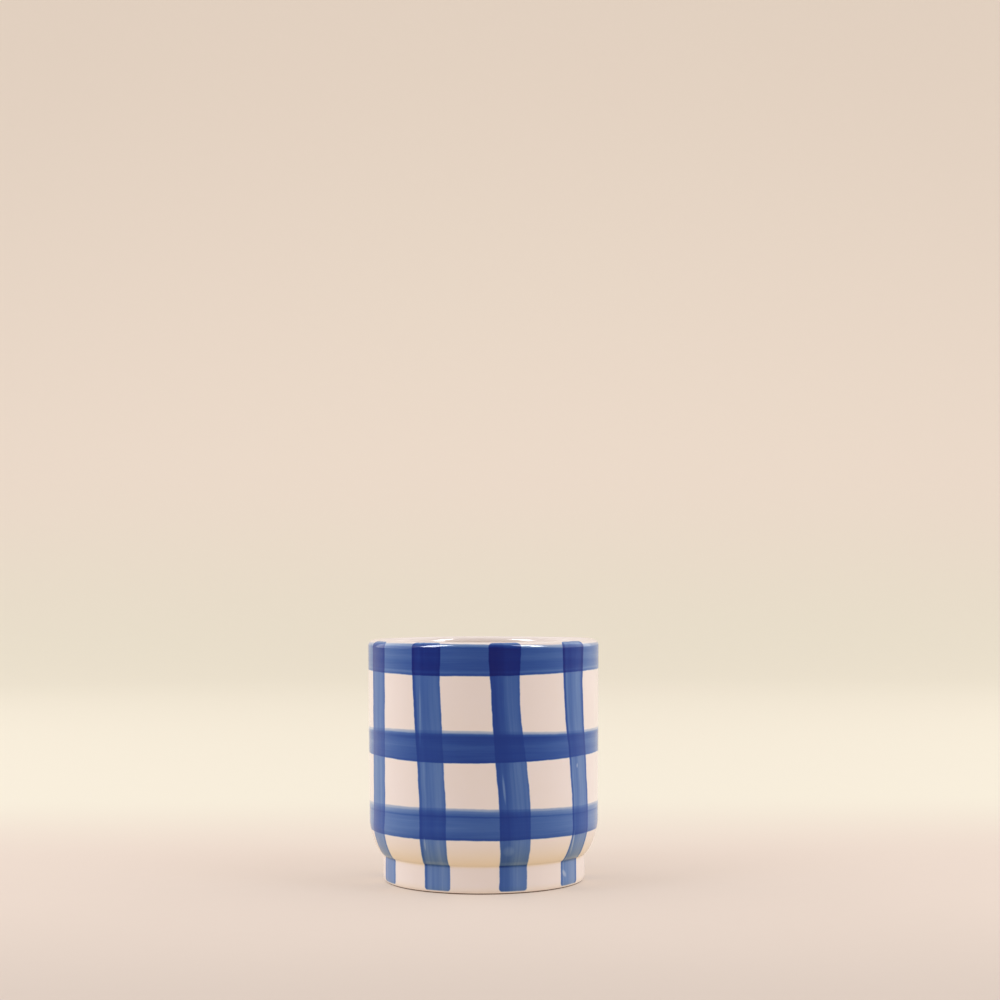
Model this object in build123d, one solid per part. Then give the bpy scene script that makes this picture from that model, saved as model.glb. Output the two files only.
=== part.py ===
"""Handleless stoneware mug with a stacking foot, in millimetres.

The mug is one turned and fired pot, and it is modelled the way it is made, coat by coat: the clay, the
three coats of pale glaze that cover it, and the cobalt brush strokes, which are laid on the raw outer coat
and sink into it in the kiln. The origin is the centre of the foot ring, on the surface that the mug stands
on, and +Z runs up the mug's axis. -Y is the front, and an angle round the mug counts from the front
towards +X.
"""
from build123d import *
import math
import os

# Overall sizes
height = 82.5
body_diameter = 80.0          # across the lip's outer wall
body_taper = 1.2              # how much narrower the wall is just above the shoulder

# Wall and cavity
wall = 4.6                    # lip and wall with both their coats, which leaves a bore of 70.8
floor_thickness = 5.2         # from the ceiling of the foot recess to the glazed floor
cavity_round = 14.0           # large radius between the inner wall and the floor

# Shoulder and foot
shoulder_top = 20.8           # where the wall starts to turn in
foot_height = 9.2             # the sharp crease under the shoulder
stacking_clearance = 0.7      # all round a foot that is dropped into the mouth of the mug below it
shoulder_fullness = 0.34      # 0 is a straight chamfer, 0.55 a quarter ellipse
foot_edge_round = 0.8         # softened outer edge of the bare clay
foot_ring_width = 4.2         # bearing face, from the recess to the softened edge
foot_recess_depth = 2.4
recess_round = 1.6            # between the recess's wall and its ceiling

# Coats
glaze = 0.45                  # each coat of glaze
paint = 0.15                  # a brush stroke where another one crosses it, and half its depth elsewhere
dry_foot = 1.2                # the foot is wiped clean of glaze below this height
dry_recess = 0.5              # the same for the wall of the recess
overcut = 1.0                 # how far a cutting form reaches past the face that it cuts

# Horizontal brush strokes: the top one hangs from the lip, the lowest one stands over the shoulder
top_band_drop = 1.0
top_band_width = 9.7
middle_band_width = 10.0
middle_band_gap = 15.8        # pale glaze between the lowest stroke and the middle one
bottom_band_width = 9.4
bottom_band_drop = 2.7        # how far the lowest stroke runs onto the shoulder

# Vertical brush strokes: angle round the mug in degrees, width, and lean in degrees (+ leans right going down)
stripe_strokes = (
    (-64.2, 9.6, -1.6),
    (-27.2, 10.2, 0.4),
    (12.7, 10.3, 3.2),
    (52.3, 9.8, 3.4),
    (92.5, 10.0, 1.0),
    (133.0, 10.4, -0.8),
    (173.5, 9.8, 1.2),
    (215.5, 10.2, 0.6),
    (256.5, 10.0, -1.0),
)
stripe_top_drop = 0.80        # below the crown of the lip
stripe_foot_gap = 1.9         # above the surface that the mug stands on
stroke_end_round = 2.5

# Values that follow from the sizes above
body_radius = body_diameter / 2
mouth_radius = body_radius - wall
foot_radius = mouth_radius - stacking_clearance
lip_round = wall / 2
crown_radius = mouth_radius + lip_round
low_wall_radius = body_radius - body_taper / 2
floor_height = foot_recess_depth + floor_thickness
ring_outer = foot_radius - glaze - foot_edge_round
recess_radius = ring_outer - foot_ring_width
top_band_top = height - top_band_drop
top_band_foot = top_band_top - top_band_width
bottom_band_foot = shoulder_top - bottom_band_drop
bottom_band_top = bottom_band_foot + bottom_band_width
middle_band_foot = bottom_band_top + middle_band_gap
stroke_bands = {
    "top_cobalt_band": (top_band_foot, top_band_width),
    "middle_cobalt_band": (middle_band_foot, middle_band_width),
    "bottom_cobalt_band": (bottom_band_foot, bottom_band_width),
}


def at(radius, z):
    """A point of the upright half section, in the XZ plane, rounded so that level lines are truly level."""
    return Vector(round(radius, 9), 0, round(z, 9))


def arc_about(centre_radius, centre_z, radius, start_angle, end_angle):
    """An arc of the half section about a centre, with angles counted from +X towards +Z."""
    def point(angle):
        turn = math.radians(angle)
        return at(centre_radius + radius * math.cos(turn), centre_z + radius * math.sin(turn))
    return ThreePointArc(point(start_angle), point((start_angle + end_angle) / 2), point(end_angle))


def outside(inset, lowest):
    """The outside from the crown down to the given height, set back by inset: lip, wall, shoulder, foot."""
    lip = arc_about(crown_radius, height - lip_round, lip_round - inset, 90, 0)
    wall_foot = at(low_wall_radius - inset, shoulder_top)
    crease = at(foot_radius - inset, foot_height + inset)
    drop = (wall_foot.Z - crease.Z) * shoulder_fullness
    reach = (wall_foot.X - crease.X) * shoulder_fullness
    shoulder = Bezier(
        wall_foot,
        wall_foot - Vector(0, 0, drop),
        crease + Vector(reach, 0, 0),
        crease,
    )
    return [
        lip,
        Line(lip @ 1, wall_foot),
        shoulder,
        Line(crease, at(foot_radius - inset, lowest)),
    ]


def cavity(inset):
    """The inside from the crown down to the axis, set back into the clay by inset: lip, wall, floor."""
    turn_z = floor_height + cavity_round
    lip = arc_about(crown_radius, height - lip_round, lip_round - inset, 90, 180)
    bend = arc_about(mouth_radius - cavity_round, turn_z, cavity_round + inset, 0, -90)
    return [
        lip,
        Line(lip @ 1, bend @ 0),
        bend,
        Line(bend @ 1, at(0, floor_height - inset)),
    ]


def recess(inset, lowest):
    """The hollow under the base from the given height up its wall and along its ceiling to the axis."""
    bend = arc_about(
        recess_radius - recess_round, foot_recess_depth - recess_round, recess_round - inset, 0, 90
    )
    return [
        Line(at(recess_radius - inset, lowest), bend @ 0),
        bend,
        Line(bend @ 1, at(0, foot_recess_depth - inset)),
    ]


def turned(*runs):
    """Turns the closed section that the runs of edges outline about the mug's axis."""
    edges = [edge for run in runs for edge in run]
    return revolve(Face(Wire(edges)), Axis.Z)


def between(outer_inset, inner_inset, lowest):
    """A coat on the outside, from one depth under the finished surface to another."""
    outer = outside(outer_inset, lowest)
    inner = outside(inner_inset, lowest)
    crown = Line(outer[0] @ 0, inner[0] @ 0)
    rim_of_coat = Line(outer[-1] @ 1, inner[-1] @ 1)
    return turned(outer, inner, [crown, rim_of_coat])


def slab(low, thickness):
    """A level slice of space wider than the mug."""
    return Pos(0, 0, low + thickness / 2) * Box(2 * body_diameter, 2 * body_diameter, thickness)


def brush_mark(angle, width, lean):
    """The prism that one vertical brush stroke fills, from the mug's axis outwards, with rounded ends."""
    top = height - stripe_top_drop
    length = top - stripe_foot_gap
    mark = Plane.XZ * RectangleRounded(width, length, stroke_end_round)
    prism = extrude(mark, body_diameter)
    middle = (top + stripe_foot_gap) / 2
    return Rot(0, 0, angle) * Pos(0, 0, middle) * Rot(0, -lean, 0) * prism


def stoneware_body():
    """The clay: wall, floor and foot ring, with a bare bearing face."""
    outer = outside(glaze, foot_edge_round)
    inner = cavity(glaze)
    edge = arc_about(ring_outer, foot_edge_round, foot_edge_round, 0, -90)
    bearing = Line(edge @ 1, at(recess_radius, 0))
    hollow = recess(0, 0)
    axis = Line(hollow[-1] @ 1, inner[-1] @ 1)
    return turned(outer, [edge, bearing], hollow, [axis], inner)


def interior_glaze():
    """The coat poured inside, from the crown of the lip down over the wall and the floor."""
    face = cavity(0)
    back = cavity(glaze)
    crown = Line(face[0] @ 0, back[0] @ 0)
    axis = Line(face[-1] @ 1, back[-1] @ 1)
    return turned(face, back, [crown, axis])


def foot_recess_glaze():
    """The coat in the hollow under the base, wiped back from the bearing face."""
    face = recess(glaze, dry_recess)
    back = recess(0, dry_recess)
    wiped = Line(face[0] @ 0, back[0] @ 0)
    axis = Line(face[-1] @ 1, back[-1] @ 1)
    return turned(face, back, [wiped, axis])


def cobalt_strokes():
    """The bands and the stripes. A stripe lies over each band that it crosses, each at half its depth."""
    full_depth = between(0, 2 * paint, dry_foot)
    upper_room = between(-overcut, paint, dry_foot)
    lower_room = between(paint, 2 * paint + overcut, dry_foot)
    slabs = {name: slab(low, width) for name, (low, width) in stroke_bands.items()}
    marks = {f"cobalt_stripe_{n}": brush_mark(*stroke) for n, stroke in enumerate(stripe_strokes, start=1)}
    notches = [upper_room & mark for mark in marks.values()]
    laps = [lower_room & level for level in slabs.values()]
    strokes = {}
    for name, level in slabs.items():
        strokes[name] = cut_by(full_depth & level, notches)
    for name, mark in marks.items():
        strokes[name] = cut_by(full_depth & mark, laps)
    return strokes, [*slabs.values(), *marks.values()]


def exterior_glaze(forms):
    """The coat over the outside, hollowed where the brush strokes have sunk into it."""
    lattice = forms[0].fuse(*forms[1:])
    stroke_room = between(-overcut, 2 * paint, dry_foot) & lattice
    return between(0, glaze, dry_foot) - stroke_room


def cut_by(shape, rooms):
    """The shape with each of the rooms taken out of it."""
    for room in rooms:
        shape = shape - room
    return shape


def only_solid(name, shape):
    """The one solid of a piece, named."""
    solids = shape.solids()
    print(name, "solids", len(solids), "volume", round(sum(s.volume for s in solids), 1), "mm3")
    piece = solids[0] if len(solids) == 1 else Compound(children=solids)
    piece.label = name
    return piece


strokes, stroke_forms = cobalt_strokes()
pieces = {
    "stoneware_body": stoneware_body(),
    "interior_glaze": interior_glaze(),
    "exterior_glaze": exterior_glaze(stroke_forms),
    "foot_recess_glaze": foot_recess_glaze(),
    **strokes,
}

os.makedirs("parts", exist_ok=True)
for name, shape in pieces.items():
    export_step(only_solid(name, shape), f"parts/{name}.step")
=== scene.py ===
# %% [markdown]
# # A stoneware mug with brushed cobalt checks
# The mug is thrown on a wheel, turned to leave a narrow stacking foot, dipped in a pale glaze, and painted
# with broad cobalt strokes before it is fired. This lesson dresses an accurate but plain model of it: the
# pale coats become skins of real thickness with the small irregularities of a handmade pot, and the paint
# becomes a material that behaves like cobalt in a glaze.

# %% Load the measured model
import math
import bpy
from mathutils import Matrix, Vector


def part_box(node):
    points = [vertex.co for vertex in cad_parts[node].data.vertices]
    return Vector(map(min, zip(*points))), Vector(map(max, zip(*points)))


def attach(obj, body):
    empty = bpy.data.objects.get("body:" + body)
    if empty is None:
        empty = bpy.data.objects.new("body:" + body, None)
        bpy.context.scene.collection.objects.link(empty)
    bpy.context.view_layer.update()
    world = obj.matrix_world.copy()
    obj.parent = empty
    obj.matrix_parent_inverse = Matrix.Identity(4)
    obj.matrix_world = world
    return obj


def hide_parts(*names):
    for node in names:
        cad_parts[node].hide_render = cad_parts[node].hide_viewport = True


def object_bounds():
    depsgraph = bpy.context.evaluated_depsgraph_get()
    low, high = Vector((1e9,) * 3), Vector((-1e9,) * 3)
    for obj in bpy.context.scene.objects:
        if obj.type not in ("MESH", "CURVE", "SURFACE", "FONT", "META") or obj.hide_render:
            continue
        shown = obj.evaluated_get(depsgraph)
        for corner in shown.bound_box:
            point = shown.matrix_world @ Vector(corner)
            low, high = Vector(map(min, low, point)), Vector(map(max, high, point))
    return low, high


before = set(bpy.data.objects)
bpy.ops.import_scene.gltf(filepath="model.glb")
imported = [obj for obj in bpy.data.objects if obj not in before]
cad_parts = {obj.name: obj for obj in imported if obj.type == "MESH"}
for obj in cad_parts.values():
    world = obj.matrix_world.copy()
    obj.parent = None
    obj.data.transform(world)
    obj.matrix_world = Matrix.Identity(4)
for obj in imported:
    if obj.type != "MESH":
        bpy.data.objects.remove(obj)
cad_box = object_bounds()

from types import SimpleNamespace

import bpy
import numpy as np
from mathutils import Matrix, Vector

MM = 0.001  # one millimetre, in Blender's metres
print("nodes of the model:", sorted(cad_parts))

# %% [markdown]
# ## Sizes
# Every skin is turned from the same half section as the model, so the sizes that the model can give are read
# from its nodes' boxes and only the rest are written down. All of them are in millimetres, the unit of a
# potter's calipers, and the mesh code multiplies them by MM at the very end.

# %% Read the sizes of the pot
def reach(node):
    """The largest radius and the lowest point of one turned node of the model, in millimetres."""
    low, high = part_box(node)
    return high.x / MM, low.z / MM


body_radius, height = cad_box[1].x / MM, cad_box[1].z / MM
crown_radius, poured_low = reach("interior_glaze")
recess_radius, _ = reach("foot_recess_glaze")

coat = 0.45                                  # depth of each coat of glaze
back_gap = 0.02                              # the hidden side of a skin stays this clear of the clay
wall_narrowing = 0.6                         # how much the radius shrinks on the way down to the shoulder
lip_round = body_radius - crown_radius
mouth_radius = crown_radius - lip_round
low_wall_radius = body_radius - wall_narrowing
shoulder_top = 20.8
crease = 9.2
stacking_clearance = 0.7
foot_radius = mouth_radius - stacking_clearance
foot_edge_round = 0.8                        # softened outer edge of the clay
ring_outer = foot_radius - coat - foot_edge_round
floor_height = poured_low + coat
cavity_round = 14.0
print("height", round(height, 2), "body radius", round(body_radius, 2), "foot radius", round(foot_radius, 2))

# %% [markdown]
# ## The half section
# A thrown pot is one outline spun round an axis. Blender's Screw modifier could spin a curve, but then the
# outline could not change from one side of the pot to the other. So the outline is a list of (radius, height)
# points in Python, and a mesh function of our own spins it. The lip gets very small steps, because the
# outside and the inside coats meet on its crown and their shading must run together there.

# %% Draw runs of the outline
def arc(centre, radius, start, end, steps):
    """Points of an arc, with its angles in degrees counted from outwards towards up."""
    turns = [math.radians(start + (end - start) * k / steps) for k in range(steps + 1)]
    return [(centre[0] + radius * math.cos(t), centre[1] + radius * math.sin(t)) for t in turns]


def straight(start, end, steps):
    """Points of a straight run without its first point, so that runs can be joined."""
    return [
        tuple(a + (b - a) * k / steps for a, b in zip(start, end))
        for k in range(1, steps + 1)
    ]


def bezier(p0, p1, p2, p3, steps):
    """Points of a cubic curve without its first point."""
    points = []
    for k in range(1, steps + 1):
        t = k / steps
        weights = ((1 - t) ** 3, 3 * t * (1 - t) ** 2, 3 * t * t * (1 - t), t**3)
        points.append(tuple(sum(w * p[i] for w, p in zip(weights, (p0, p1, p2, p3))) for i in (0, 1)))
    return points


def lip(inset, side):
    """The lip from its crown down to the wall. side is 1 for the outer half and -1 for the inner half."""
    centre = (crown_radius, height - lip_round)
    near_crown = arc(centre, lip_round - inset, 90, 90 - side * 4, 8)
    return near_crown + arc(centre, lip_round - inset, 90 - side * 4, 90 - side * 90, 43)[1:]


# %% [markdown]
# ## Outside coat
# Real glaze never keeps a sharp inner corner: it pools in the crease over the foot and rounds off where it
# was sponged away from the clay. The model has a plain crease and a plain edge there, so this outline adds a
# small fillet in the crease and lets the coat thin out round the bottom edge of the foot.

# %% Outline the outside coat
shoulder_fullness = 0.34
pool = 0.55          # how far the pooled glaze fills the crease
last_glaze = 0.42    # height at which the coat has thinned to nothing
edge_gap = 0.03      # what is left of the coat there
bead_height = 3.0    # where the coat starts to draw in towards its edge


def outside_run(inset):
    """The outside from the crown to the foot, without the rounding at its bottom."""
    wall_foot = (low_wall_radius - inset, shoulder_top)
    corner = (foot_radius - inset, crease + inset)
    drop = (wall_foot[1] - corner[1]) * shoulder_fullness
    reach_in = (wall_foot[0] - corner[0]) * shoulder_fullness
    run = lip(inset, 1)
    run += straight(run[-1], wall_foot, 72)
    run += bezier(
        wall_foot, (wall_foot[0], wall_foot[1] - drop), (corner[0] + reach_in, corner[1]), corner, 40
    )
    return run, corner


def with_pooled_crease(run, corner):
    """The same run with its crease replaced by the small hollow curve that pooled glaze makes."""
    kept = [p for p in run if p[0] - corner[0] > pool or p[1] > corner[1] + 2]
    return kept + bezier(kept[-1], (corner[0] + 0.12, corner[1]), (corner[0], corner[1] - 0.12),
                         (corner[0], corner[1] - pool * 1.6), 14)


def outer_face():
    run, corner = outside_run(0)
    run = with_pooled_crease(run, corner)
    bead_top = (foot_radius, bead_height)
    run += straight(run[-1], bead_top, 16)
    end_radius = foot_edge_round + edge_gap
    lean = math.asin((foot_edge_round - last_glaze) / end_radius)
    end = (ring_outer + end_radius * math.cos(lean), last_glaze)
    return run + bezier(bead_top, (foot_radius, 1.4), (foot_radius - 0.12, 0.75), end, 20)


def outer_back():
    """The hidden side of the coat, a hair clear of the clay."""
    run, corner = outside_run(coat - back_gap)
    run += straight(run[-1], (corner[0], 1.0), 10)
    return run


print("outside outline:", len(outer_face()), "points, ending at", [round(v, 2) for v in outer_face()[-1]])

# %% [markdown]
# ## Poured coat
# The inside was glazed by pouring and swirling, so it is one quiet curve: lip, wall, a large bend and the
# floor. Here it runs from the crown to the axis.

# %% Outline the poured coat
def inside_run(inset):
    centre = (mouth_radius - cavity_round, floor_height + cavity_round)
    run = lip(inset, -1)
    run += straight(run[-1], (mouth_radius + inset, centre[1]), 56)
    run += arc(centre, cavity_round + inset, 0, -90, 36)[1:]
    run += straight(run[-1], (0.0, floor_height - inset), 44)
    return run


print("inside outline:", len(inside_run(0)), "points")

# %% [markdown]
# ## The hand of the potter
# A thrown pot is never quite round. Slow waves in radius and in the height of the rim are what make a
# highlight on it wander. They are a tenth of a millimetre here, always inwards and downwards, so that the
# mug keeps its measured size. Both coats share them, or the lip would come apart.

# %% Describe the small irregularities
def out_of_round(turn, z):
    """How far the wall leans inwards at an angle (radians) and a height (mm), in millimetres."""
    wave = 0.5 + 0.24 * np.sin(2 * turn + 0.7 + z * 0.012) + 0.16 * np.sin(3 * turn + 2.2 - z * 0.02)
    rings = 0.10 * np.sin(z * 0.83 + 0.5 * np.sin(turn)) + 0.06 * np.sin(z * 1.9 + turn)
    return 0.11 * wave + 0.10 * rings


def rim_dip(turn, z):
    """How far the rim dips, fading out down the wall."""
    fade = np.clip((z - 0.75 * height) / (0.25 * height), 0, 1) ** 2
    return fade * (0.08 + 0.045 * np.sin(2 * turn + 1.9) + 0.03 * np.sin(5 * turn + 0.4))


turns_sample = np.linspace(0, 2 * math.pi, 60)
print("out of round at mid height, mm:", round(float(np.ptp(out_of_round(turns_sample, 41.0))), 3))

# %% [markdown]
# ## Spin an outline into a skin
# A skin is a closed shell: the face that is seen, and a back that lies on the clay. Each outline point
# becomes a ring of vertices, and neighbouring rings are joined by quads. Where the outline reaches the axis
# the ring shrinks to one vertex with a fan of triangles. The function also lays the rings out flat as a UV
# map, so that a picture baked from the material keeps an even grain.

# %% Spin a skin
columns = 300


def spin_skin(name, face, back, hand):
    """A closed shell round +Z. Only the face gets the hand's small offsets. Lengths in millimetres."""
    outline = face + back[::-1]
    rings = [i for i, p in enumerate(outline) if p[0] > 1e-6]
    poles = [i for i, p in enumerate(outline) if p[0] <= 1e-6]
    turn = np.arange(columns) * 2 * math.pi / columns
    start, points = {}, []
    for i in rings + poles:
        radius, z = outline[i]
        lean, dip = hand(turn, radius, z) if i < len(face) else (0 * turn, 0 * turn)
        start[i] = len(points)
        ring = np.stack([(radius - lean) * np.sin(turn), -(radius - lean) * np.cos(turn), z - dip], axis=1)
        points += (ring if i in rings else ring.mean(axis=0, keepdims=True)).tolist()
    # how far along the outline each point is, for the UV map: the back is squeezed into a narrow strip
    steps = [math.dist(a, b) for a, b in zip(outline, outline[1:] + outline[:1])]
    steps = [s if k < len(face) - 1 else s * 0.06 for k, s in enumerate(steps)]
    along = np.concatenate([[0], np.cumsum(steps)]) / sum(steps)
    faces, uvs = [], []
    for i in range(len(outline)):
        j = (i + 1) % len(outline)
        if i in poles and j in poles:
            continue
        v0, v1 = float(along[i]), float(along[i + 1])
        for c in range(columns):
            d = (c + 1) % columns
            u0, u1 = c / columns, (c + 1) / columns
            if i in poles:
                faces.append((start[i], start[j] + c, start[j] + d))
                uvs += [(u0, v0), (u0, v1), (u1, v1)]
            elif j in poles:
                faces.append((start[i] + c, start[j], start[i] + d))
                uvs += [(u0, v0), (u0, v1), (u1, v0)]
            else:
                faces.append((start[i] + c, start[j] + c, start[j] + d, start[i] + d))
                uvs += [(u0, v0), (u0, v1), (u1, v1), (u1, v0)]
    mesh = bpy.data.meshes.new(name)
    mesh.from_pydata([[v * MM for v in p] for p in points], [], faces)
    mesh.uv_layers.new(name="OFBake").data.foreach_set("uv", [v for uv in uvs for v in uv])
    mesh.shade_smooth()
    keep_corners(mesh, [start[0], start[len(outline) - 1]] + [start[i] for i in (len(face) - 1, len(face))])
    mesh.validate()
    piece = bpy.data.objects.new(name, mesh)
    bpy.context.scene.collection.objects.link(piece)
    make_outward(mesh)
    print(name, "vertices", len(mesh.vertices), "faces", len(mesh.polygons))
    return piece


def keep_corners(mesh, ring_starts):
    """Marks the edges of the rings where the shell has a true corner, so that shading doesn't smear over it."""
    sharp = mesh.attributes.new("sharp_edge", "BOOLEAN", "EDGE")
    ends = np.zeros(2 * len(mesh.edges), np.int32)
    mesh.edges.foreach_get("vertices", ends)
    ends = ends.reshape(-1, 2)
    flags = np.zeros(len(ends), bool)
    for first in ring_starts:
        flags |= ((ends >= first) & (ends < first + columns)).all(axis=1)
    sharp.data.foreach_set("value", flags)


def make_outward(mesh):
    """Turns the shell's faces so that they look out of the material: its signed volume must be positive."""
    mesh.calc_loop_triangles()
    corners = np.zeros(3 * len(mesh.loop_triangles), np.int32)
    mesh.loop_triangles.foreach_get("vertices", corners)
    co = np.zeros(3 * len(mesh.vertices))
    mesh.vertices.foreach_get("co", co)
    a, b, c = (co.reshape(-1, 3)[corners.reshape(-1, 3)[:, k]] for k in range(3))
    volume = float((a * np.cross(b, c)).sum()) / 6
    if volume < 0:
        mesh.flip_normals()
    print("   shell volume, mm3:", round(abs(volume) / MM**3))


def outside_hand(turn, radius, z):
    calm = np.clip((z - 1.0) / 6.0, 0, 1)  # the coat hugs the clay where it thins out
    return calm * out_of_round(turn, z), rim_dip(turn, z)


def inside_hand(turn, radius, z):
    upright = np.clip((z - floor_height) / cavity_round, 0, 1)
    ripple = 0.05 * (1 - upright) * (1 + np.sin(radius * 1.75 + turn))  # the fingers' spiral in the floor
    return upright * out_of_round(turn, z), rim_dip(turn, z) - ripple * min(1.0, radius / 4)


# %% [markdown]
# ## Writing shader maths as sums
# The paint is worked out from distances, and a node tree of bare Math nodes is hard to read. The class below
# wraps an output socket, so that `1 - mask` or `a * b` adds the Math node by itself. Every other node comes
# from one method that takes the node's type, its settings and what goes into its sockets.

# %% Wrap sockets so that they add up
class Amount:
    """A number that changes over a surface."""

    def __init__(self, recipe, socket):
        self.recipe, self.socket = recipe, socket

    def combine(self, operation, *terms):
        return self.recipe.node("ShaderNodeMath", {"operation": operation}, terms)

    def __add__(self, other):
        return self.combine("ADD", self, other)

    def __sub__(self, other):
        return self.combine("SUBTRACT", self, other)

    def __rsub__(self, other):
        return self.combine("SUBTRACT", other, self)

    def __mul__(self, other):
        return self.combine("MULTIPLY", self, other)

    def __truediv__(self, other):
        return self.combine("DIVIDE", self, other)

    def __rtruediv__(self, other):
        return self.combine("DIVIDE", other, self)

    def __pow__(self, other):
        return self.combine("POWER", self, other)

    def __neg__(self):
        return self.combine("MULTIPLY", self, -1)

    def __abs__(self):
        return self.combine("ABSOLUTE", self)

    __radd__ = __add__
    __rmul__ = __mul__

    def at_least(self, other):
        return self.combine("MAXIMUM", self, other)

    def at_most(self, other):
        return self.combine("MINIMUM", self, other)

    def rise(self, low, high, start=0.0, end=1.0):
        """Goes smoothly from start to end as the amount goes from low to high, and stays level outside."""
        return self.recipe.node(
            "ShaderNodeMapRange", {"interpolation_type": "SMOOTHSTEP"}, (self, low, high, start, end)
        )


class Recipe:
    """One material: its nodes, and the places on the pot that its sums start from."""

    def __init__(self, name):
        self.material = bpy.data.materials.new(name)
        self.material.use_nodes = True
        self.tree = self.material.node_tree
        self.tree.nodes.clear()

    def node(self, kind, settings=None, sockets=(), out=0):
        """Adds a node. settings are set first, then sockets, by position or by name. Returns output `out`."""
        node = self.tree.nodes.new(kind)
        for key, value in (settings or {}).items():
            if key == "stops":
                set_stops(node.color_ramp, value)
            else:
                setattr(node, key, value)
        pairs = sockets.items() if isinstance(sockets, dict) else enumerate(sockets)
        for key, value in pairs:
            if isinstance(value, Amount):
                self.tree.links.new(value.socket, node.inputs[key])
            else:
                node.inputs[key].default_value = value
        return Amount(self, node.outputs[out]) if node.outputs else node

    def place(self):
        """x, y and z on the pot in millimetres."""
        here = self.node("ShaderNodeTexCoord", out=3)
        big = self.node("ShaderNodeVectorMath", {"operation": "SCALE"}, {"Vector": here, "Scale": 1 / MM})
        return [self.node("ShaderNodeSeparateXYZ", None, (big,), out=k) for k in range(3)]

    def vector(self, x, y, z):
        return self.node("ShaderNodeCombineXYZ", None, (x, y, z))

    def noise(self, x, y, z, detail=1.0, roughness=0.5):
        """Soft noise between about -1 and 1 at a point that is already scaled."""
        cloud = self.node(
            "ShaderNodeTexNoise",
            {"noise_dimensions": "3D"},
            {"Vector": self.vector(x, y, z), "Scale": 1.0, "Detail": detail, "Roughness": roughness},
        )
        return cloud * 2 - 1

    def mix(self, share, one, other):
        """A colour between two others."""
        return self.node("ShaderNodeMix", {"data_type": "RGBA"}, {0: share, 6: one, 7: other}, out=2)

    def finish(self, colour, roughness, height=None, **constants):
        """Joins everything to a Principled shader. height is in millimetres and goes through a Bump node."""
        sockets = {"Base Color": colour, "Roughness": roughness, **constants}
        if height is not None:
            sockets["Normal"] = self.node(
                "ShaderNodeBump", None, {"Height": height, "Distance": MM, "Strength": 1.0}
            )
        shader = self.node("ShaderNodeBsdfPrincipled", None, sockets)
        self.node("ShaderNodeOutputMaterial", None, {"Surface": shader})
        print(self.material.name, "has", len(self.tree.nodes), "nodes")
        return self.material


def total(amounts):
    """The sum of some amounts."""
    first, *others = amounts
    for amount in others:
        first = first + amount
    return first


ramp_scale = 1.6  # the largest value that a stop may stand for


def set_stops(ramp, stops):
    """Puts (place, value) stops on a ramp, as shares of ramp_scale."""
    while len(ramp.elements) < len(stops):
        ramp.elements.new(0.5)
    for element, (place, value) in zip(ramp.elements, stops):
        element.position = place
        element.color = [value / ramp_scale] * 4


# %% [markdown]
# ## Pale glaze
# The coats share one glaze: a warm white, a little creamier where it is thick, with a surface that is glossy
# but not flat. Thickness is worked out from the shape: glaze gathers in the crease, at the foot and in the
# floor's bend, and the creamier shoulder is partly thicker glaze and partly painted warm bounce light from
# the floor. Colour, roughness and the small waves in the surface all come from noise at the scale of
# millimetres, which is how a fired glaze really looks close up.

# %% Mix the pale glaze
glaze_white = (0.805, 0.748, 0.745)       # reflected share of red, green and blue
thick_tint = (0.00, 0.09, 0.36)           # what an extra thick coat takes away
gloss = 0.075
glaze_ior = 1.30                          # a soft gloss, so that the blue keeps its depth


def glaze_waves(recipe, x, y, z):
    """The relief of the glaze in millimetres: slow waves and a fine skin like orange peel."""
    slow = recipe.noise(x * 0.07, y * 0.07, z * 0.055, 1.0)
    fine = recipe.noise(x * 0.55, y * 0.55, z * 0.55, 1.0)
    return slow * 0.030 + fine * 0.0016


def glaze_tone(recipe, x, y, z, thick):
    """The absorption of the bare glaze in each channel."""
    drift = recipe.noise(x * 0.03, y * 0.03, z * 0.04, 2.0)
    mottle = recipe.noise(x * 0.32, y * 0.32, z * 0.26, 3.0)
    cloud = thick + drift * 0.10 + mottle * 0.05
    return [cloud * tint for tint in thick_tint]


def blend_colour(recipe, absorbed):
    """The colour that is left when each channel of the white loses what is absorbed."""
    left = [
        recipe.node("ShaderNodeMath", {"operation": "EXPONENT"}, (-amount,)) * white
        for amount, white in zip(absorbed, glaze_white)
    ]
    return recipe.node("ShaderNodeCombineColor", {"mode": "RGB"}, left)


def poured_glaze_material():
    recipe = Recipe("poured_cream_glaze")
    x, y, z = recipe.place()
    floor_pool = z.rise(floor_height, floor_height + cavity_round, 0.30, 0.0)
    colour = blend_colour(recipe, glaze_tone(recipe, x, y, z, floor_pool + 0.05))
    rough = recipe.noise(x * 0.2, y * 0.2, z * 0.2, 2.0) * 0.02 + (gloss + 0.02)
    return recipe.finish(colour, rough, glaze_waves(recipe, x, y, z), IOR=glaze_ior)


# %% [markdown]
# ## Cobalt strokes
# Cobalt is so strong that a thin wash is already blue. Where two strokes cross, light passes through twice
# as much pigment, and the colour goes to navy. That is absorption: the share of light left is the exponential
# of minus the amount of pigment. So the material first works out how much cobalt lies at a point, and only
# then turns it into colour. Painting a blue and a navy texture by hand would never give such crossings.
#
# Each stroke is a rounded shape measured on the wall. A stripe has a centre that drifts as the hand moves
# down, and a band has two edges that wander round the pot. A ramp across each stroke says where the brush
# left more or less: dark where the wet edge dried, pale along a gap between the bristles.

# %% List the strokes
cobalt = (3.31, 2.14, 0.755)              # what one full coat of pigment absorbs in red, green and blue

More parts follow.
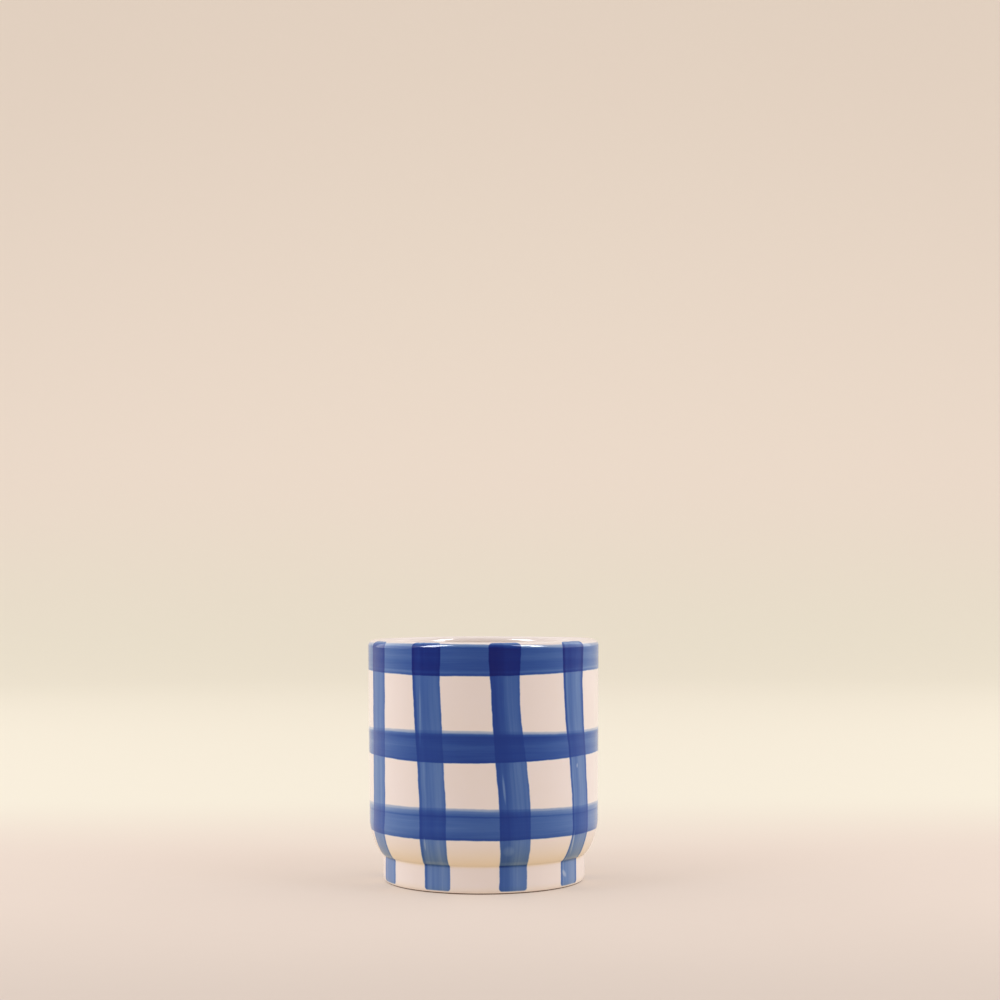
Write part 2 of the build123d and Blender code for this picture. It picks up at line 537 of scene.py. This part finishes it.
# each edge is its mean height, how far it wanders and the angle of its highest point. dragged is the share of
# the pigment that a stripe takes off where it crosses, and the profile says how much pigment lies across the
# band from its lower edge to its upper one
bands = {
    "top": {
        "low": (71.96, 0.50, 80), "high": (81.86, 0.41, -35), "strength": 1.05, "dragged": 0.18,
        "profile": [(0.0, 1.25), (0.05, 1.0), (0.11, 0.80), (0.17, 1.0), (0.34, 1.06), (0.55, 0.93), (0.70, 0.96),
                    (0.86, 0.98), (0.915, 0.55), (1.0, 0.30)],
    },
    "middle": {
        "low": (43.75, 0.60, 80), "high": (53.15, 0.60, -25), "strength": 1.18, "dragged": 0.70,
        "profile": [(0.0, 1.15), (0.08, 1.0), (0.30, 0.98), (0.50, 0.88), (0.66, 1.0), (0.80, 1.1), (0.88, 0.82),
                    (0.93, 0.30), (1.0, 0.18)],
    },
    "bottom": {
        "low": (18.10, 0.08, 40), "high": (28.00, 0.45, -20), "strength": 0.93, "dragged": 0.58,
        "profile": [(0.0, 1.25), (0.07, 1.12), (0.14, 1.0), (0.35, 0.92), (0.55, 0.94), (0.70, 1.0), (0.745, 1.22),
                    (0.79, 0.92), (0.90, 0.70), (0.94, 0.42), (1.0, 0.28)],
    },
}

# angle at the lip, drift over the wall, drift over the foot (degrees), widths at the lip, on the upper wall, on
# the lower wall and at the foot (mm), strength, and the pigment across it from left to right
wet_left = [(0.0, 1.3), (0.07, 1.25), (0.13, 0.95), (0.26, 0.85), (0.33, 1.02), (0.60, 0.92), (0.85, 0.85),
            (0.95, 1.0), (1.0, 1.15)]
dark_third = [(0.0, 1.25), (0.08, 1.2), (0.18, 1.15), (0.33, 1.12), (0.44, 0.92), (0.60, 0.86), (0.80, 0.83),
              (0.90, 0.85), (1.0, 0.95)]
gappy = [(0.0, 1.5), (0.06, 1.35), (0.12, 0.80), (0.22, 0.90), (0.34, 0.98), (0.50, 0.80), (0.66, 0.76),
         (0.84, 0.86), (0.93, 1.2), (1.0, 1.25)]
even = [(0.0, 1.2), (0.08, 1.05), (0.30, 0.92), (0.55, 1.0), (0.75, 0.88), (0.92, 1.05), (1.0, 1.2)]
stripes = [
    (-63.2, -0.5, -3.2, (9.9, 9.6, 9.5, 9.5), 0.64, even),
    (-28.5, 3.4, -1.6, (10.8, 10.2, 9.6, 9.4), 0.78, wet_left),
    (10.2, 5.0, 0.7, (10.9, 9.5, 10.5, 9.4), 0.90, dark_third),
    (49.0, 6.6, -0.3, (11.0, 9.9, 9.5, 9.6), 0.70, gappy),
    (91.6, 1.9, -1.0, (10.4, 9.8, 9.6, 9.3), 0.86, wet_left),
    (133.4, -1.2, 1.4, (10.6, 10.1, 9.8, 9.5), 0.92, dark_third),
    (173.0, 2.6, -0.8, (10.1, 9.5, 9.4, 9.6), 0.84, gappy),
    (215.0, 1.4, -1.2, (10.7, 10.0, 9.7, 9.2), 0.88, even),
    (256.8, -1.6, 0.9, (10.3, 9.7, 9.5, 9.4), 0.86, wet_left),
]
stripe_top = 82.95       # measured up the wall and on round the lip
stripe_foot = 1.0
end_round_at_lip, end_round_at_foot = 2.2, 1.0

# places where the bristles parted: angle, height, half width, half length (mm), lean (mm per mm), how bare
gaps = [
    (9.6, 34.6, 0.42, 4.6, -0.10, 0.40),
    (12.2, 14.4, 1.9, 1.7, 0.0, 0.22),
    (51.8, 41.0, 0.35, 0.8, 0.0, 0.55),
    (50.6, 15.0, 0.45, 4.2, -0.12, 0.45),
    (50.4, 5.0, 0.9, 1.3, -0.5, 0.50),
    (-30.2, 16.4, 0.35, 2.2, 0.05, 0.40),
    (-31.8, 58.0, 0.40, 9.0, 0.0, 0.25),
    (134.2, 38.0, 0.50, 5.5, 0.06, 0.50),
    (216.5, 60.0, 0.40, 6.0, -0.05, 0.45),
    (170.6, 8.0, 0.60, 2.0, 0.2, 0.45),
]
print(len(bands), "bands,", len(stripes), "stripes,", len(gaps), "gaps between bristles")

# %% [markdown]
# A point on the wall has two useful measures: its angle round the pot, and how far up the surface it is. Over
# the lip height alone would squash the strokes' ends, so from the start of the lip the measure follows the
# curve instead.

# %% Measure the wall
def wall_place(recipe):
    """x, y, z, the radius and the way up the surface in millimetres, and the turn from the front in radians."""
    x, y, z = recipe.place()
    turn = recipe.node("ShaderNodeMath", {"operation": "ARCTAN2"}, (x, -y))
    radius = (x * x + y * y) ** 0.5
    lip_start = height - lip_round
    above, outwards = (z - lip_start).at_least(0.0), (radius - crown_radius).at_least(MM)
    over = recipe.node("ShaderNodeMath", {"operation": "ARCTAN2"}, (above, outwards))
    up = z.at_most(lip_start) + over * lip_round
    return SimpleNamespace(x=x, y=y, z=z, angle=turn * (180 / math.pi), turn=turn, radius=radius, up=up)


def arc_from(recipe, here, angle):
    """How far round the wall the place is from an angle in degrees, in millimetres, positive to the right."""
    off = recipe.node("ShaderNodeMath", {"operation": "WRAP"}, (here.angle - angle, 180.0, -180.0))
    return off * here.radius * (math.pi / 180)


def across(recipe, profile, share):
    """How much pigment the brush left at a share of the way across a stroke, from the ramp's Alpha output."""
    return recipe.node("ShaderNodeValToRGB", {"stops": profile}, (share,), out=1) * ramp_scale


# %% [markdown]
# The edge of a brushed stroke is crisp but not ruled: it wobbles by a tenth or two of a millimetre. The
# bristles leave streaks that are fine across the stroke and very long along it, so the same noise is read
# with a large scale one way and a small scale the other way.

# %% Lay a stripe
edge_softness = 0.24


def stripe_pigment(recipe, here, number, stripe):
    z = here.z
    lip_angle, wall_drift, foot_drift, widths, strength, profile = stripe
    centre = z.rise(20.0, 72.0, lip_angle + wall_drift, lip_angle) + z.rise(5.0, 30.0, foot_drift, 0.0)
    arc_off = arc_from(recipe, here, centre)
    at_lip, at_top, at_bottom, at_foot = (width / 2 for width in widths)
    half = z.rise(38.0, 60.0, at_bottom, at_top) + z.rise(66.0, 81.0, 0.0, at_lip - at_top)
    half = half + z.rise(7.0, 20.0, at_foot - at_bottom, 0.0)
    sway = recipe.noise(z * 0.10, arc_off * 0.02, number * 7.3, 1.0)
    wobble = recipe.noise(z * 0.55, arc_off * 0.30, number * 3.1 + 40, 2.0)
    end_round = z.rise(20.0, 60.0, end_round_at_foot, end_round_at_lip)
    swayed = arc_off + sway * 0.35
    side = (abs(swayed) - (half - end_round)).at_least(0.0)
    middle, reach_up = (stripe_top + stripe_foot) / 2, (stripe_top - stripe_foot) / 2
    end = (abs(here.up + wobble * 0.25 - middle) - (reach_up - end_round)).at_least(0.0)
    outside = (side * side + end * end) ** 0.5 - end_round + wobble * 0.16
    inside = outside.rise(-edge_softness, edge_softness, 1.0, 0.0)
    share = swayed / half * 0.5 + 0.5
    bristles = recipe.noise(arc_off * 3.1, z * 0.045, number * 5.7, 3.0, 0.6)
    broad = recipe.noise(arc_off * 0.75, z * 0.030, number * 9.1, 1.0)
    load = z.rise(16.0, 32.0, 0.84, 0.96) * z.rise(38.0, 60.0, 1.0, 1.17) * here.up.rise(80.5, 82.6, 1.0, 0.72)
    left = across(recipe, profile, share) * load + bristles * 0.10 + broad * 0.16
    return inside * left * strength


# %% [markdown]
# A band is brushed while the pot turns slowly on the wheel, so its streaks follow the pot round. Reading the
# noise at x and y instead of at the angle keeps them free of a seam where the stroke meets its own start.

# %% Lay a band
load_mean, painted_side_sheen = 0.78, 0.24  # painted sheen: the bands are paler at the sides of the mug seen from the front, where the glaze reflects the room


def wander(recipe, turn, edge):
    """The height of an edge that rises and falls twice on its way round."""
    mean, swing, peak = edge
    from_peak = turn * 2 - math.radians(2 * peak)
    return recipe.node("ShaderNodeMath", {"operation": "COSINE"}, (from_peak,)) * swing + mean


def band_pigment(recipe, here, number, band):
    x, y, z, turn = here.x, here.y, here.z, here.turn
    low, high, strength, profile = band["low"], band["high"], band["strength"], band["profile"]
    bottom, top = wander(recipe, turn, low), wander(recipe, turn, high)
    wobble = recipe.noise(x * 0.35, y * 0.35, z * 0.5 + number * 11, 2.0)
    slow = recipe.noise(x * 0.06, y * 0.06, number * 5.0, 1.0)
    height_here = here.up + wobble * 0.14 + slow * 0.22
    over_bottom, under_top = height_here - bottom, top - height_here
    inside = over_bottom.rise(-edge_softness, edge_softness) * under_top.rise(-edge_softness, edge_softness)
    share = over_bottom / (top - bottom)
    bristles = recipe.noise(x * 0.05, y * 0.05, z * 2.9 + number * 17, 3.0, 0.6)
    broad = recipe.noise(x * 0.035, y * 0.035, z * 0.6 + number * 29, 1.0)
    left = across(recipe, profile, share) + bristles * 0.11 + broad * 0.13
    # painted sheen: the pigment is thinned towards the mug's sides and kept full in front and behind
    load = recipe.node("ShaderNodeMath", {"operation": "COSINE"}, (turn * 2,)) * painted_side_sheen + load_mean
    return inside * left * load * strength


# %% [markdown]
# Last, the strokes are added up. Where both lie on each other the sum is a little less than the two, because
# the second stroke drags some of the first along. Bristle gaps are small soft ellipses that thin the pigment.

# %% Mix the painted glaze
def bristle_gap(recipe, here, gap):
    """The share of the pigment that is missing: most in the middle of the gap, and 0 outside it."""
    at, height_of, half_width, half_length, lean, bare = gap
    rise_here = here.z - height_of
    sideways = (arc_from(recipe, here, at) + rise_here * lean * -1) / half_width
    lengthways = rise_here / half_length
    return (sideways * sideways + lengthways * lengthways).rise(0.0, 1.6, bare, 0.0)


def painted_crease_light_and_shade(z):
    """A painted shade line at the crease and a painted highlight just above it: the stripes' pigment is thickened
    at the crease and thinned just over it.
    """
    return z.rise(8.5, 9.0, 1.0, 1.35) * z.rise(9.2, 9.7, 1.0, 0.62) * z.rise(10.1, 10.9, 1.0, 1.195)


def coat_thickness(radius, z):
    """0 on the wall, more in the crease and at the foot, where glaze pools, and more on the shoulder: partly
    thicker glaze and partly painted warm bounce light from the floor.
    """
    near_crease = (radius - foot_radius).rise(0.0, 3.5, 0.5, 0.0) * z.rise(8.0, 9.6)
    # painted light: the tint over the shoulder is partly thicker glaze and partly painted warm bounce light from
    # the floor
    shoulder = z.rise(8.6, 20.8, 0.75, 0.0) * z.rise(8.6, 9.4)
    return near_crease + shoulder + z.rise(0.4, 3.0, 0.35, 0.0)


def painted_glaze_material():
    recipe = Recipe("cream_glaze_with_cobalt_strokes")
    here = wall_place(recipe)
    x, y, z = here.x, here.y, here.z
    laid_bands = [band_pigment(recipe, here, number, band) for number, band in enumerate(bands.values())]
    dragged = total(amount * band["dragged"] for amount, band in zip(laid_bands, bands.values()))
    laid_stripes = total(stripe_pigment(recipe, here, number, stripe) for number, stripe in enumerate(stripes))
    # painted shade and painted highlight along the crease
    laid_stripes = laid_stripes * painted_crease_light_and_shade(z)
    thin = total(bristle_gap(recipe, here, gap) for gap in gaps)
    pigment = (total(laid_bands) + laid_stripes - dragged * laid_stripes) * (1 - thin.at_most(0.85))
    tone = glaze_tone(recipe, x, y, z, coat_thickness(here.radius, z) + 0.05)
    colour = blend_colour(recipe, [pigment * strong + bare for strong, bare in zip(cobalt, tone)])
    cloud = recipe.noise(x * 0.2, y * 0.2, z * 0.2, 2.0)
    rough = pigment.at_most(1.0) * 0.035 + cloud * 0.02 + gloss
    return recipe.finish(colour, rough, glaze_waves(recipe, x, y, z), IOR=glaze_ior)


# %% [markdown]
# ## Bare clay
# The foot ring is the only place where the clay shows. Stoneware that touched the kiln shelf is dry, gritty
# and buff, and beside the edge of the glaze it flashes to a rusty brown line. That line is painted very dark:
# partly real flashing and partly a painted contact shadow where the foot meets the floor. The grit is noise
# with a lot of detail, the brown edge depends on the distance from the axis.

# %% Mix the fired clay
buff_clay = (0.58, 0.45, 0.33, 1), (0.68, 0.55, 0.42, 1)
iron_speck = (0.22, 0.13, 0.07, 1)
flash_and_contact_shade = (0.12, 0.06, 0.028, 1)


def fired_clay_material():
    recipe = Recipe("bare_fired_clay")
    x, y, z = recipe.place()
    radius = (x * x + y * y) ** 0.5
    grit = recipe.noise(x * 1.3, y * 1.3, z * 1.3, 4.0, 0.65)
    specks = recipe.noise(x * 3.4, y * 3.4, z * 3.4, 1.0).rise(0.42, 0.62)
    # painted shade: the brown edge is partly iron flashing and partly a painted contact shadow
    flash_and_shade = (radius + grit * 0.10).rise(ring_outer - 0.25, ring_outer + 0.25)
    buff = recipe.mix(grit * 0.5 + 0.5, *buff_clay)
    specked = recipe.mix(specks * 0.5, buff, iron_speck)
    colour = recipe.mix(flash_and_shade, specked, flash_and_contact_shade)
    return recipe.finish(colour, grit * 0.06 + 0.82, grit * 0.05 + specks * 0.03)


def recess_glaze_material():
    recipe = Recipe("recess_cream_glaze")
    x, y, z = recipe.place()
    radius = (x * x + y * y) ** 0.5
    pooled = radius.rise(recess_radius - 3.0, recess_radius - 0.4, 0.0, 0.7)
    colour = blend_colour(recipe, glaze_tone(recipe, x, y, z, pooled + 0.15))
    rough = recipe.noise(x * 0.3, y * 0.3, z * 0.3, 2.0) * 0.03 + (gloss + 0.04)
    return recipe.finish(colour, rough, glaze_waves(recipe, x, y, z), IOR=glaze_ior)


# %% [markdown]
# ## Put the pieces on the model
# The painted skin stands for the plain outside coat and for every stroke of the model, and the poured skin
# for the plain inside coat. Clay and recess glaze keep the model's own shape and only get their finish.

# %% Make and place the coats
painted = spin_skin("painted_glaze", outer_face(), outer_back(), outside_hand)
painted.data.materials.append(painted_glaze_material())
strokes = sorted(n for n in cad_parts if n.endswith("_cobalt_band") or n.startswith("cobalt_stripe_"))
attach(painted, "root")
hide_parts("exterior_glaze", *strokes)

poured = spin_skin("poured_glaze", inside_run(0), inside_run(coat - back_gap), inside_hand)
poured.data.materials.append(poured_glaze_material())
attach(poured, "root")
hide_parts("interior_glaze")

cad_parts["stoneware_body"].material_slots[0].material = fired_clay_material()
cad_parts["foot_recess_glaze"].material_slots[0].material = recess_glaze_material()
print("strokes that the painted skin stands for:", len(strokes))

# %% [markdown]
# ## Paper sweep
# A product picture needs a ground with no horizon. A studio rolls paper up behind the object. This one
# curves up all round, so that every side of the mug has the same calm ground. It is a dish turned from one
# outline. Its colour drifts from a pinkish cream near the mug to a yellower one behind it, with a very faint
# mottle. It also glows a little: painted light that keeps the shadows on it faint and lights the mug from
# below. Its colour is also painted darker towards the front, on the floor and towards the top: painted shade.

# %% Build the sweep
flat_reach, bend_reach, wall_reach = 1.3, 0.9, 2.6   # metres
around = 96                                          # facets round the dish


def build_sweep():
    outline = [(flat_reach * (k / 12) ** 1.5, 0.0) for k in range(1, 13)]
    outline += arc((flat_reach, bend_reach), bend_reach, -90, 0, 24)[1:]
    outline.append((flat_reach + bend_reach, wall_reach))
    points = [(0.0, 0.0, 0.0)]
    for radius, z in outline:
        for c in range(around):
            turn = 2 * math.pi * c / around
            points.append((radius * math.sin(turn), -radius * math.cos(turn), z))
    faces = [(0, 1 + (c + 1) % around, 1 + c) for c in range(around)]
    for k in range(len(outline) - 1):
        for c in range(around):
            a, b = 1 + k * around + c, 1 + k * around + (c + 1) % around
            faces.append((a, b, b + around, a + around))
    mesh = bpy.data.meshes.new("paper_sweep")
    mesh.from_pydata(points, [], faces)
    mesh.shade_smooth()
    sweep = bpy.data.objects.new("paper_sweep", mesh)
    bpy.context.scene.collection.objects.link(sweep)
    return sweep


def paper_material():
    recipe = Recipe("cream_paper")
    x, y, z = recipe.place()
    cloud = recipe.noise(x * 0.0012, y * 0.0012, z * 0.0012, 2.0)
    grain = recipe.noise(x * 0.11, y * 0.11, z * 0.11, 3.0)
    behind = y.rise(40.0, 260.0)
    upright = z.rise(0.0, 260.0) + cloud * 0.25 + grain * 0.06
    # painted shade: the paper is darker towards the front, a little darker on the floor than on the low wall, and
    # darker towards the top of its wall
    shade = (-y).rise(30.0, 230.0, 1.0, 0.83) * z.rise(0.0, 300.0, 0.94, 1.0) * z.rise(300.0, 1100.0, 1.0, 0.96)
    tone = recipe.mix(behind, paper_near, recipe.mix(upright, paper_behind, paper_upright))
    colour = recipe.node("ShaderNodeVectorMath", {"operation": "SCALE"}, {"Vector": tone, "Scale": shade})
    return recipe.finish(
        colour, grain * 0.04 + 0.9, grain * 0.02, **{"Emission Color": colour, "Emission Strength": painted_paper_glow}
    )


paper_near = (0.314, 0.260, 0.222, 1)
paper_behind = (0.345, 0.318, 0.262, 1)
paper_upright = (0.349, 0.301, 0.258, 1)
painted_paper_glow = 1.3     # painted light: the paper glows at this many times its own colour, which keeps the shadows on it faint and lights the mug from below
sweep = build_sweep()
sweep.data.materials.append(paper_material())

# %% [markdown]
# ## Light
# The mug is lit by two wide, soft lamps a little behind it at its sides, a larger one above, and a low fill in
# front that brings light under the shoulder. That makes the sides of the mug a little brighter than its middle
# and leaves hardly any shadow. Two tall windows are only there to be reflected: they put the small glints on
# the lip. The lamps are hidden from the camera but not from the glaze, apart from the fill, which a glaze
# would show as a hard bar.

# %% Set the lamps
lamp_target = Vector((0, 0, 0.04))  # half way up the mug


def soft_lamp(name, place, size, power, colour=(1.0, 1.0, 1.0)):
    """A rectangular lamp that looks at the mug."""
    light = bpy.data.lights.new(name, "AREA")
    light.shape, light.size, light.size_y = "RECTANGLE", *size
    light.energy, light.color = power, colour
    lamp = bpy.data.objects.new(name, light)
    lamp.location = place
    lamp.rotation_euler = (lamp_target - Vector(place)).to_track_quat("-Z", "Y").to_euler()
    lamp.visible_camera = False
    bpy.context.scene.collection.objects.link(lamp)
    return lamp


soft_lamp("left_lamp", (-1.2, 0.30, 0.60), (1.5, 1.1), 11.5)
soft_lamp("right_lamp", (1.2, 0.30, 0.60), (1.5, 1.1), 10.7)
soft_lamp("top_lamp", (0.0, 0.8, 2.1), (2.4, 2.4), 9.7)
low_fill = soft_lamp("low_fill", (0.0, -1.3, 0.10), (1.6, 0.4), 3.6, (1.0, 0.97, 0.92))
low_fill.visible_glossy = False
for name, side in (("left_window", -0.92), ("right_window", 0.92)):
    window = soft_lamp(name, (side, -0.50, 1.15), (0.38, 0.95), 55.0, (0.93, 0.96, 1.0))
    window.visible_diffuse = False

world = bpy.data.worlds.new("cream_room")
bpy.context.scene.world = world
world.use_nodes = True
room = world.node_tree.nodes["Background"]
room.inputs["Color"].default_value = (1.0, 1.0, 1.0, 1)
room.inputs["Strength"].default_value = 0.71

# %% [markdown]
# ## Camera
# The picture is taken from just above the rim, a little over half a metre away, so that the far rim is barely
# seen. The camera looks slightly up, which sets the mug low in a large empty picture, and it is held a fifth
# of a degree out of level.

# %% Aim the camera
def aim_camera(distance, eye_height, pitch, yaw, roll, focal):
    """Places the camera in front of the mug. Angles in degrees, lengths in metres, focal length in mm."""
    camera = bpy.data.objects.new("camera", bpy.data.cameras.new("camera"))
    camera.data.sensor_width, camera.data.lens = 36.0, focal
    camera.location = (0.0, -distance, eye_height)
    rise, turn = math.radians(pitch), math.radians(yaw)
    look = Vector((math.sin(turn) * math.cos(rise), math.cos(turn) * math.cos(rise), math.sin(rise)))
    turned = look.to_track_quat("-Z", "Y").to_matrix().to_4x4() @ Matrix.Rotation(math.radians(roll), 4, "Z")
    camera.rotation_euler = turned.to_euler()
    camera.data.clip_start, camera.data.clip_end = 0.01, 20.0
    bpy.context.scene.collection.objects.link(camera)
    bpy.context.scene.camera = camera
    return camera


camera = aim_camera(distance=0.648, eye_height=0.1005, pitch=2.67, yaw=0.524, roll=-0.2, focal=67.05)
bpy.context.scene.view_settings.view_transform = "Standard"
print("camera at", [round(v, 4) for v in camera.location])

# %% [markdown]
# ## Finish
# The last line writes the size of the model. The coats are meant not to grow it.

# %% Write the model's size
print("model", [[round(c / MM, 2) for c in v] for v in cad_box])
